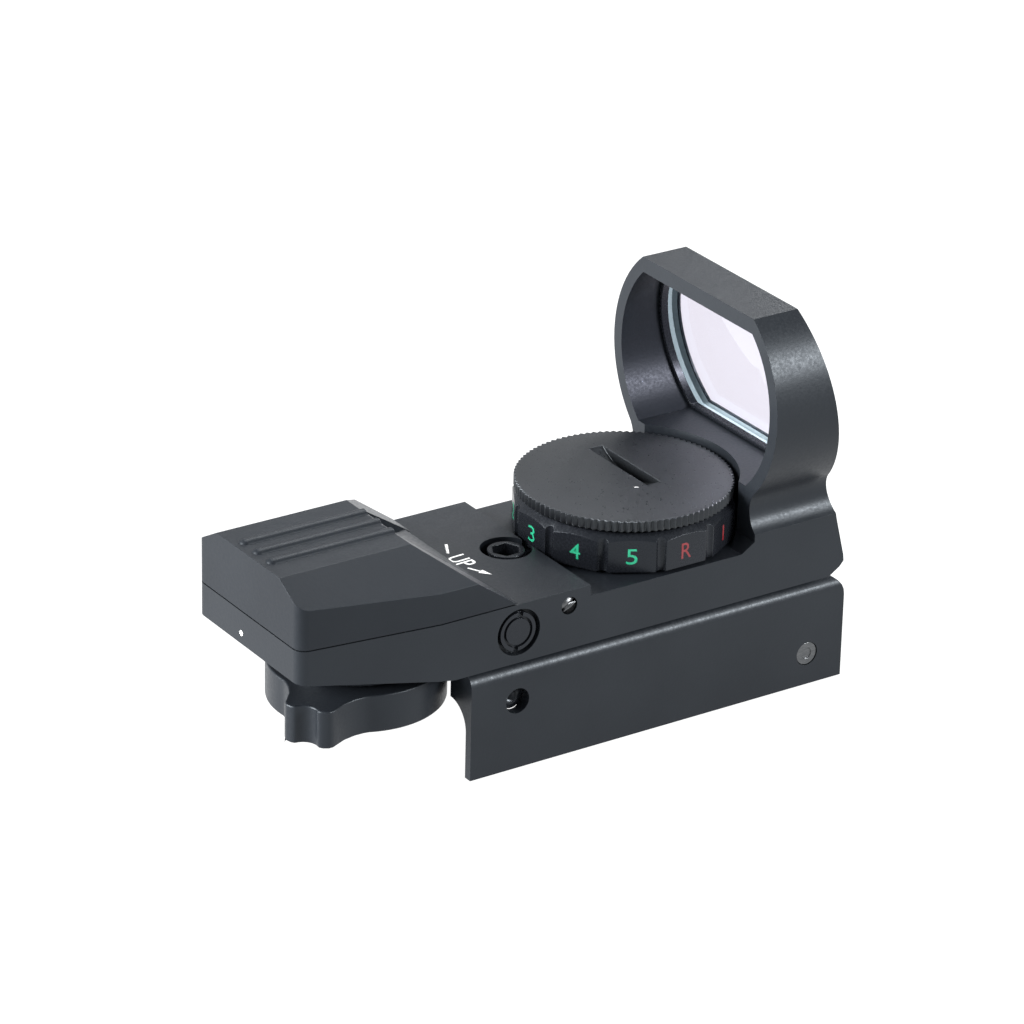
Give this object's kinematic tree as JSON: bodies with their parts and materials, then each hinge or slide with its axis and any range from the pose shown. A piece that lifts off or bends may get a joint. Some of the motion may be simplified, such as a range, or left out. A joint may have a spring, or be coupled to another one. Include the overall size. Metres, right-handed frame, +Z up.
{
  "type": "reflex red dot finder",
  "caption": "Open reflex red dot finder with a hooded lens, battery dial, reticle selector and a clamp base for a dovetail rail.",
  "frame": {"origin": "on the rail seat of the clamp base, on the centre line, straight below the axis of the brightness dial", "axes": "+X along the direction of aim, from the eye to the lens; +Y to the left; +Z up, away from the rail"},
  "size_m": [0.0829, 0.0366, 0.0537],
  "materials": {
    "anodised_black": "black anodised, fine satin",
    "steel": "bright",
    "black_plastic": "fine matte texture",
    "brass": "turned",
    "lens_glass": "coated, clear",
    "red_window": "clear red",
    "mirror_face": "polished",
    "circuit_board": "solder mask",
    "lamp_body": "clear moulded",
    "reticle_film": "opaque film",
    "cell_case": "nickel plated",
    "seal_rubber": "soft",
    "wire_sleeve": "sleeving",
    "white_nylon": "nylon",
    "white_paint": "printed"
  },
  "bodies": {
    "base": {"mount_base": "anodised_black", "pitch_pin": "steel", "bar_guide_pins": "steel", "elevation_spring": "steel"},
    "clamp_bar_body": {"clamp_bar": "anodised_black"},
    "clamp_screw_body": {"clamp_screw": "steel"},
    "set_tip_body": {"set_tip": "brass"},
    "set_screw_body": {"rail_set_screw": "anodised_black"},
    "carrier": {"tilt_carrier": "anodised_black"},
    "elevation_screw_body": {"elevation_screw": "anodised_black"},
    "housing_body": {"housing": "anodised_black", "yaw_screw": "steel", "objective_lens": "lens_glass", "lens_retainer": "anodised_black", "rear_cover": "black_plastic", "cover_gasket": "seal_rubber", "cover_screws": "steel", "emitter_window": "red_window", "mirror_block": "black_plastic", "fold_mirror": "mirror_face", "led_board": "circuit_board", "led": "lamp_body", "knob_detent": "steel", "dial_detent": "steel", "switch_board": "circuit_board", "switch_cover": "black_plastic", "switch_cover_screws": "steel", "lead_wires": "wire_sleeve", "deck_marks": "white_paint"},
    "windage_body": {"windage_screw": "anodised_black", "windage_clip": "steel"},
    "lock_pad_body": {"lock_pad": "white_nylon"},
    "lock_screw_body": {"lock_screw": "anodised_black"},
    "selector": {"reticle_knob": "anodised_black", "reticle_spindle": "brass", "reticle_disc": "reticle_film", "knob_screw": "steel"},
    "dial": {"brightness_dial": "anodised_black", "dial_clip": "steel", "dial_wiper": "brass", "contact_spring": "steel", "battery": "cell_case"},
    "seal_ring": {"cap_o_ring": "seal_rubber"},
    "cap": {"battery_cap": "anodised_black"}
  },
  "joints": [
    {"name": "clamp_bar_slide", "type": "slide", "parent": "base", "child": "clamp_bar_body", "axis": [0, -1, 0], "range_m": [0, 0.001]},
    {"name": "clamp_screw_turn", "type": "hinge", "parent": "clamp_bar_body", "child": "clamp_screw_body", "pos_m": [0.0205, -0.0139, -0.0055], "axis": [0, -1, 0], "range_deg": [0, 515]},
    {"name": "set_tip_slide", "type": "slide", "parent": "base", "child": "set_tip_body", "axis": [0, 1, 0], "range_m": [0, 0.0004]},
    {"name": "rail_set_screw_turn", "type": "hinge", "parent": "set_tip_body", "child": "set_screw_body", "pos_m": [-0.0253, -0.0124, -0.0004], "axis": [0, 1, 0], "range_deg": [0, 206]},
    {"name": "elevation_tilt", "type": "hinge", "parent": "base", "child": "carrier", "pos_m": [0.0204, 0, 0.0026], "axis": [0, 1, 0], "range_deg": [-0.45, 0.45], "deforming": ["elevation_spring"]},
    {"name": "elevation_screw_turn", "type": "hinge", "parent": "carrier", "child": "elevation_screw_body", "pos_m": [-0.0182, 0, 0.0134], "axis": [0, 0, 1], "range_deg": [-219, 219]},
    {"name": "windage_yaw", "type": "hinge", "parent": "carrier", "child": "housing_body", "pos_m": [0.0172, 0, 0.006], "axis": [0, 0, 1], "range_deg": [-0.6, 0.6]},
    {"name": "windage_screw_turn", "type": "hinge", "parent": "housing_body", "child": "windage_body", "pos_m": [-0.0258, -0.0145, 0.0097], "axis": [0, -1, 0], "range_deg": [-325, 325]},
    {"name": "lock_pad_slide", "type": "slide", "parent": "housing_body", "child": "lock_pad_body", "axis": [0, 1, 0], "range_m": [0, 0.0003]},
    {"name": "lock_screw_turn", "type": "hinge", "parent": "lock_pad_body", "child": "lock_screw_body", "pos_m": [-0.0182, -0.0144, 0.0115], "axis": [0, 1, 0], "range_deg": [0, 217]},
    {"name": "reticle_selector_turn", "type": "hinge", "parent": "housing_body", "child": "selector", "pos_m": [-0.0407, 0, 0.0015], "axis": [0, 0, 1], "range_deg": [-90, 0]},
    {"name": "brightness_dial_turn", "type": "hinge", "parent": "housing_body", "child": "dial", "pos_m": [0, 0, 0.015], "axis": [0, 0, 1], "continuous": true},
    {"name": "cap_lift", "type": "slide", "parent": "dial", "child": "seal_ring", "axis": [0, 0, 1], "range_m": [0, 0.002]},
    {"name": "battery_cap_turn", "type": "hinge", "parent": "seal_ring", "child": "cap", "pos_m": [0, 0, 0.019], "axis": [0, 0, 1], "range_deg": [0, 901]}
  ],
  "couplings": [
    {"joint": "clamp_screw_turn", "follows": "clamp_bar_slide", "rad_per_m": 8976},
    {"joint": "rail_set_screw_turn", "follows": "set_tip_slide", "rad_per_m": 8976},
    {"joint": "elevation_screw_turn", "follows": "elevation_tilt", "ratio": 485.06},
    {"joint": "windage_screw_turn", "follows": "windage_yaw", "ratio": 540.35},
    {"joint": "lock_screw_turn", "follows": "lock_pad_slide", "rad_per_m": 12566},
    {"joint": "battery_cap_turn", "follows": "cap_lift", "rad_per_m": 7854}
  ]
}
